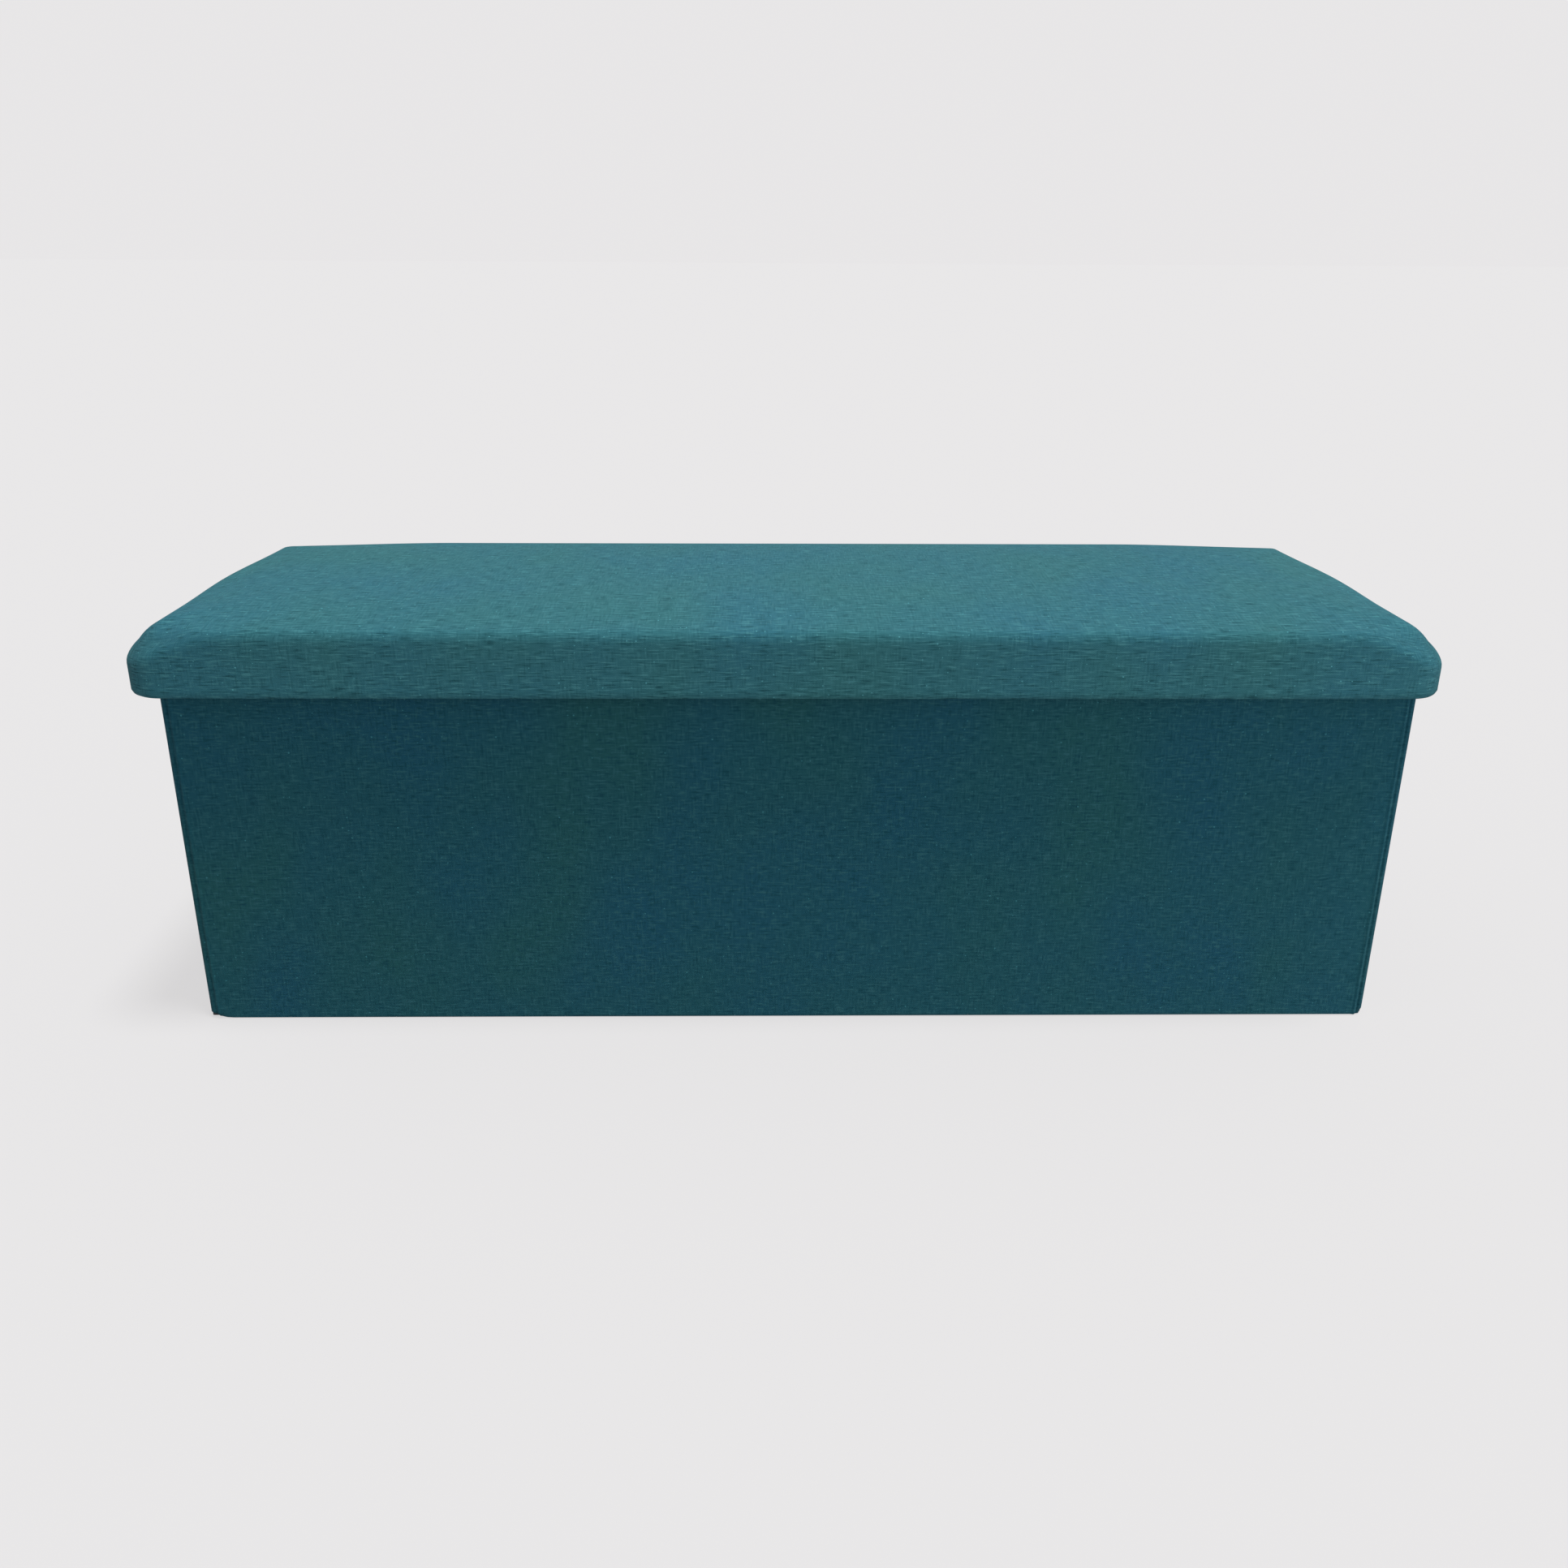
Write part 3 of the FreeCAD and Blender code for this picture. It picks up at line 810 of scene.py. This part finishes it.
def make_tapes(materials):
    """The cloth hinges, bent across their joints, and the two loose arms at the opened corner."""
    for tape in TAPES:
        outside = tape.facing is not None
        material = materials["body_linen" if outside else "nonwoven"]
        obj = strip(f"{tape.node}_cloth", tape, -1, 1, TAPE_BEND, material)
        corner, arms, *_ = tape_frame(tape)
        start, end = (corner + arm * TAPE_TURN for arm in arms)
        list(tape.bodies)
        tuple(start)
        tuple(end)
        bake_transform(obj)
        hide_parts(tape.node)
    lining = materials["nonwoven"]
    for arm, (start, end) in enumerate([(-1, -OPEN_GAP), (OPEN_GAP, 1)]):
        name = f"{OPEN_CORNER.node}_cloth_{arm + 1}"
        obj = strip(name, OPEN_CORNER, start, end, OPEN_BEND, lining)
        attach(obj, OPEN_CORNER.bodies[arm])
        if arm == 0:
            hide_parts(OPEN_CORNER.node)


# ---------------------------------------------------------------- base, divider, underside of the lid

def make_base(materials):
    """The loose base board in its sleeve, which is sewn along its front and back."""
    low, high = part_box("base_cover")
    flange = Vector((*FLANGE, 0))
    sleeve = plate("base_sleeve", (low - flange, high + flange), thin=2, dent=0.0003, seed=11)
    for vertex in sleeve.data.vertices:
        beyond = max(rise(abs(vertex.co[i]), high[i] - 0.002, high[i] + FLANGE[i] / 2) for i in range(2))
        vertex.co.z += ((low.z + high.z) / 2 - vertex.co.z) * FLANGE_THINNING * beyond
    dress(sleeve, materials["nonwoven"], "base", ["base_cover", "base_board"])
    for side in (-1, 1):
        start = Vector((low.x + HEM, side * (high.y - HEM / 2), high.z - 0.0002))
        end = Vector((high.x - HEM, start.y, start.z))
        name = "base_seam_front" if side < 0 else "base_seam_back"
        stitches(name, start, end, direction("+z"), materials["thread"], "base")


def make_pull_loop(materials):
    """The webbing tab that lifts the base: sewn down with two rows at each end, and raised between them."""
    low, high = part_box("base_pull_tab")
    tab = plate("base_pull_loop", (low, high), thin=2, dent=0.0, seed=12, size=0.003)
    centre = (low + high) / 2
    for vertex in tab.data.vertices:
        from_end = (high.x - low.x) / 2 - abs(vertex.co.x - centre.x)
        vertex.co.z += LOOP_RISE * rise(from_end, LOOP_FLAT, LOOP_CURVE)
    dress(tab, materials["webbing"], "base", ["base_pull_tab"])
    for end in (-1, 1):
        for row in LOOP_ROWS:
            x = centre.x + end * ((high.x - low.x) / 2 - row)
            start, stop = (Vector((x, y, high.z)) for y in (low.y + 0.003, high.y - 0.003))
            name = f"pull_loop_stitches_{'left' if end < 0 else 'right'}_{round(row / MM)}"
            stitches(name, start, stop, direction("+z"), materials["thread"], "base")


def make_divider(materials):
    """The divider in its sleeve, with stitches along its top edge."""
    nodes = ["divider_cover", "divider_board"]
    lining = materials["nonwoven"]
    cloth_plate("divider_sleeve", nodes, "divider", lining, thin=0, dent=0.0004, seed=13)
    low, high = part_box("divider_cover")
    for side in (-1, 1):
        x = high.x if side > 0 else low.x
        start, end = (Vector((x, y, high.z - END_HEM)) for y in (low.y + HEM, high.y - HEM))
        name = f"divider_stitches_{'left' if side < 0 else 'right'}"
        facing = direction("+x" if side > 0 else "-x")
        stitches(name, start, end, facing, materials["thread"], "divider")


def make_underlining(materials):
    """The lining that covers the underside of the lid's board."""
    lining = materials["nonwoven"]
    nodes = ["lid_lining"]
    cloth_plate("lid_underlining", nodes, "lid", lining, thin=2, dent=0.0002, seed=14)


def finish_hard_parts(materials):
    """Materials for the boards, the lid's rims and the staples."""
    kinds = {"fibreboard": "fibreboard", "staple_steel": "steel"}
    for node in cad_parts.values():
        for place in node.material_slots:
            place.material = materials[kinds.get(place.material.name, "nonwoven")]


# ---------------------------------------------------------------- stage

SKY_LEVEL = 0.800
STUDIO_TINT = (1.006, 0.992, 1.0)
FLOOR_REACH = 60.0
FLOOR_GREY = (0.08, 0.08, 0.08, 1)
FLOOR_GLOW = 0.627
LENS = 31.85
VIEWPOINT = (-0.0254, -1.2830, 0.6616)
VIEW_PITCH = 0.370
VIEW_YAW = 0.0167
VIEW_ROLL = 0.0055


def lamp(name, kind, energy, toward, **settings):
    """A light that shines along toward. settings are the light's own properties."""
    light = bpy.data.lights.new(name, kind)
    light.energy = energy
    for key, value in settings.items():
        setattr(light, key, value)
    obj = bpy.data.objects.new(name, light)
    obj.rotation_euler = Vector(toward).to_track_quat("-Z", "Y").to_euler()
    bpy.context.scene.collection.objects.link(obj)
    return obj


def make_floor():
    """A wide pale floor that mostly glows by itself, so that shadows on it stay faint."""
    mesh = bpy.data.meshes.new("floor")
    corners = [(-1, -1), (1, -1), (1, 1), (-1, 1)]
    mesh.from_pydata([(x * FLOOR_REACH, y * FLOOR_REACH, 0) for x, y in corners], [], [(0, 1, 2, 3)])
    floor = bpy.data.objects.new("floor", mesh)
    bpy.context.scene.collection.objects.link(floor)
    material = bpy.data.materials.new("floor")
    material.use_nodes = True
    tree = material.node_tree
    tree.nodes.clear()
    diffuse = add(tree, "ShaderNodeBsdfDiffuse", {"Color": FLOOR_GREY})
    glow = add(tree, "ShaderNodeEmission", {"Color": (*STUDIO_TINT, 1), "Strength": FLOOR_GLOW})
    both = add(tree, "ShaderNodeAddShader", {0: diffuse.outputs[0], 1: glow.outputs[0]})
    add(tree, "ShaderNodeOutputMaterial", {"Surface": both.outputs[0]})
    mesh.materials.append(material)
    return floor


def keep_off(light, obj):
    """Stops a light from reaching one object, so that a near light leaves no bright spot on the floor."""
    spared = bpy.data.collections.new(f"unlit_by_{light.name}")
    spared.objects.link(obj)
    spared.collection_objects[0].light_linking.link_state = "EXCLUDE"
    light.light_linking.receiver_collection = spared


def studio():
    """An even sky over the floor, with a soft light above, a low fill and a side light at the front right."""
    scene = bpy.context.scene
    scene.view_settings.view_transform = "Standard"
    world = bpy.data.worlds.new("studio")
    world.use_nodes = True
    background = world.node_tree.nodes["Background"]
    background.inputs["Color"].default_value = shade(STUDIO_TINT, SKY_LEVEL)
    background.inputs["Strength"].default_value = 1.0
    scene.world = world
    lamp("overhead", "SUN", 4.65, (-0.20, 0.08, -1), angle=math.radians(13))
    lamp("fill", "SUN", 0.75, (-0.5, 0.85, -0.12), angle=math.radians(50), color=(1.0, 0.88, 0.84))
    side = lamp("side", "AREA", 7.5, (-0.95, 0.86, -0.15), size=0.5, color=(1.0, 0.92, 0.90))
    side.location = (1.25, -1.05, 0.45)
    keep_off(side, make_floor())


def camera():
    """The viewpoint: just over a metre in front of the bench, looking a little down at it."""
    data = bpy.data.cameras.new("camera")
    data.lens = LENS
    data.sensor_width = 36.0
    obj = bpy.data.objects.new("camera", data)
    obj.location = VIEWPOINT
    level = math.cos(VIEW_PITCH)
    forward = Vector((math.sin(VIEW_YAW) * level, math.cos(VIEW_YAW) * level, -math.sin(VIEW_PITCH)))
    turn = forward.to_track_quat("-Z", "Y")
    obj.rotation_euler = (turn.to_matrix() @ Euler((0, 0, VIEW_ROLL)).to_matrix()).to_euler()
    bpy.context.scene.collection.objects.link(obj)
    bpy.context.scene.camera = obj


materials = make_materials()
make_lid_cushion(materials["lid_linen"])
make_underlining(materials)
make_walls(materials)
make_tapes(materials)
make_base(materials)
make_pull_loop(materials)
make_divider(materials)
finish_hard_parts(materials)
studio()
camera()
